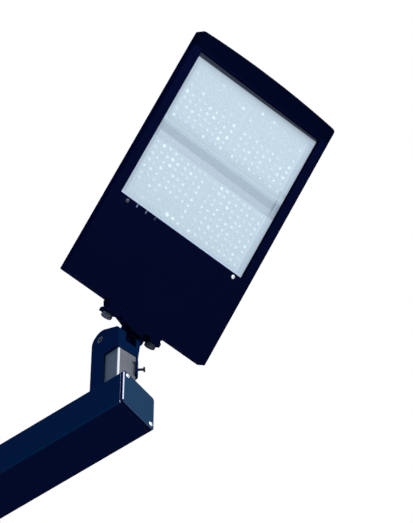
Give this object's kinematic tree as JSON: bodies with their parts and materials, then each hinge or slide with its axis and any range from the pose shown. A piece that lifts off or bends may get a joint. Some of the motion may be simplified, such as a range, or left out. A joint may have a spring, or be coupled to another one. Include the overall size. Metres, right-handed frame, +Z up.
{
  "type": "shoebox area light",
  "caption": "Flat rectangular LED area light on a tilting slip fitter, clamped to a square tenon on a square pole arm.",
  "frame": {"origin": "centre of the pole plate's back face, where the arm meets the pole", "axes": "+X along the arm away from the pole, +Z up, +Y across the arm"},
  "size_m": [0.9554, 0.4711, 0.8087],
  "materials": {
    "arm_paint": "smooth dark blue powder coat on steel",
    "cap_paint": "paler blue-grey powder coat",
    "fitter_paint": "dark blue powder coat on a casting",
    "housing_paint": "very dark blue powder coat on a die casting",
    "bare_aluminium": "bare extruded aluminium, brushed lengthwise",
    "zinc": "bright zinc plating",
    "bolt_steel": "grey galvanised steel",
    "dark_steel": "blackened steel",
    "brass_screw": "yellow passivated",
    "driver_case": "plain drawn case",
    "board": "white solder mask on a metal core",
    "optic": "clear moulded optics",
    "lens_glass": "clear tempered glass, faintly blue",
    "pale_seal": "pale silicone",
    "seal_rubber": "black silicone",
    "dark_plastic": "black nylon",
    "pale_plastic": "natural nylon"
  },
  "bodies": {
    "arm": {"pole_plate": "arm_paint", "arm_tube": "arm_paint", "end_cap": "cap_paint", "cap_screws": "zinc", "friction_washer": "dark_plastic"},
    "turret": {"turntable": "zinc", "ring_nut": "zinc", "tenon": "bare_aluminium", "slip_fitter": "fitter_paint", "clamp_screw": "dark_steel", "stop_bolt": "zinc", "pivot_bolt": "dark_steel", "pivot_washer": "dark_steel"},
    "head": {"knuckle_flange": "housing_paint", "flange_bolts": "bolt_steel", "flange_washers": "bolt_steel", "wire_grommet": "seal_rubber", "housing": "housing_paint", "driver_cover": "housing_paint", "cover_gasket": "seal_rubber", "cover_screws": "zinc", "breather_vent": "dark_plastic", "led_driver_front": "driver_case", "led_driver_rear": "driver_case", "surge_protector": "dark_plastic", "terminal_block": "pale_plastic", "earth_screw": "brass_screw", "led_board_near_left": "board", "led_board_near_right": "board", "led_board_far_left": "board", "led_board_far_right": "board", "optic_near_left": "optic", "optic_near_right": "optic", "optic_far_left": "optic", "optic_far_right": "optic", "lens": "lens_glass", "lens_gasket": "pale_seal", "lens_clamp_bar": "housing_paint", "clamp_bar_screws": "zinc"}
  },
  "joints": [
    {"name": "swivel", "type": "hinge", "parent": "arm", "child": "turret", "pos_m": [0.447, 0, 0.0508], "axis": [0, 0, 1], "range_deg": [-79.5, 100.5]},
    {"name": "tilt", "type": "hinge", "parent": "turret", "child": "head", "pos_m": [0.4234, 0.00437, 0.2228], "axis": [-0.1822, -0.9833, 0], "range_deg": [-45, 30]}
  ]
}
